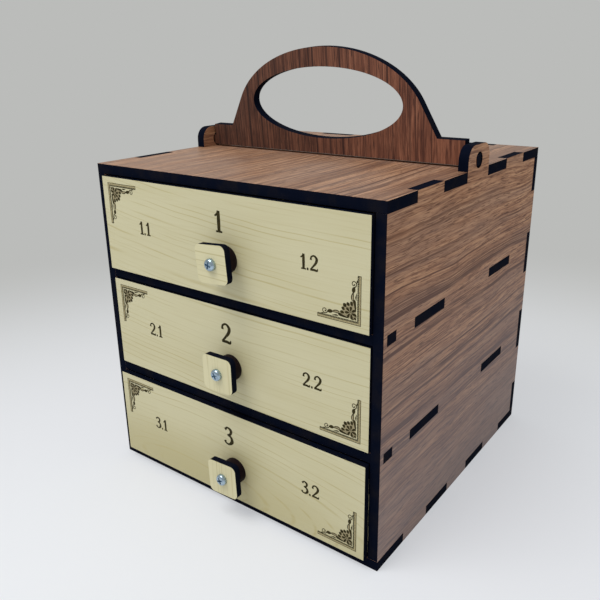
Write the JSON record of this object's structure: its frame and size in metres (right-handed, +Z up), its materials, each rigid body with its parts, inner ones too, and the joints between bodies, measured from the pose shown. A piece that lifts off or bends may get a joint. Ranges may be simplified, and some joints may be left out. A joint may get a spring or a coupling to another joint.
{
  "type": "medicine box with drawers",
  "caption": "Table-top medicine box of laser-cut boards: a finger-jointed cabinet with divided sliding drawers, square knobs and a folding arched carry handle.",
  "frame": {"origin": "middle of the underside of the cabinet, where it stands on a table", "axes": "+Z up, -Y towards the drawer fronts, +X to the right as seen from the front"},
  "size_m": [0.203, 0.2211, 0.269],
  "materials": {
    "walnut_board": "walnut-grain laminate on fibreboard, satin, with laser-burnt black edges",
    "maple_board": "pale maple-grain laminate on fibreboard, satin, with laser-burnt black edges",
    "burnt_board": "laser-burnt fibreboard edge, matt",
    "zinc": "bright zinc plating"
  },
  "bodies": {
    "cabinet": {"top_panel": "walnut_board", "bottom_panel": "walnut_board", "left_side_panel": "walnut_board", "right_side_panel": "walnut_board", "back_panel": "walnut_board", "upper_shelf": "walnut_board", "lower_shelf": "walnut_board"},
    "handle": {"carry_handle": "walnut_board"},
    "upper_drawer": {"upper_drawer_face": "maple_board", "upper_drawer_front": "maple_board", "upper_drawer_back": "maple_board", "upper_drawer_left_side": "maple_board", "upper_drawer_right_side": "maple_board", "upper_drawer_floor": "maple_board", "upper_drawer_divider": "maple_board", "upper_knob_spacer": "burnt_board", "upper_knob_plate": "maple_board", "upper_knob_screw": "zinc", "upper_knob_nut": "zinc"},
    "middle_drawer": {"middle_drawer_face": "maple_board", "middle_drawer_front": "maple_board", "middle_drawer_back": "maple_board", "middle_drawer_left_side": "maple_board", "middle_drawer_right_side": "maple_board", "middle_drawer_floor": "maple_board", "middle_drawer_divider": "maple_board", "middle_knob_spacer": "burnt_board", "middle_knob_plate": "maple_board", "middle_knob_screw": "zinc", "middle_knob_nut": "zinc"},
    "lower_drawer": {"lower_drawer_face": "maple_board", "lower_drawer_front": "maple_board", "lower_drawer_back": "maple_board", "lower_drawer_left_side": "maple_board", "lower_drawer_right_side": "maple_board", "lower_drawer_floor": "maple_board", "lower_drawer_divider": "maple_board", "lower_knob_spacer": "burnt_board", "lower_knob_plate": "maple_board", "lower_knob_screw": "zinc", "lower_knob_nut": "zinc"}
  },
  "joints": [
    {"name": "handle_fold", "type": "hinge", "parent": "cabinet", "child": "handle", "pos_m": [0, 0, 0.2078], "axis": [1, 0, 0], "range_deg": [-95, 85]},
    {"name": "upper_drawer_slide", "type": "slide", "parent": "cabinet", "child": "upper_drawer", "axis": [0, -1, 0], "range_m": [-0.0025, 0.15]},
    {"name": "middle_drawer_slide", "type": "slide", "parent": "cabinet", "child": "middle_drawer", "axis": [0, -1, 0], "range_m": [-0.001, 0.15]},
    {"name": "lower_drawer_slide", "type": "slide", "parent": "cabinet", "child": "lower_drawer", "axis": [0, -1, 0], "range_m": [-0.0036, 0.15]}
  ]
}
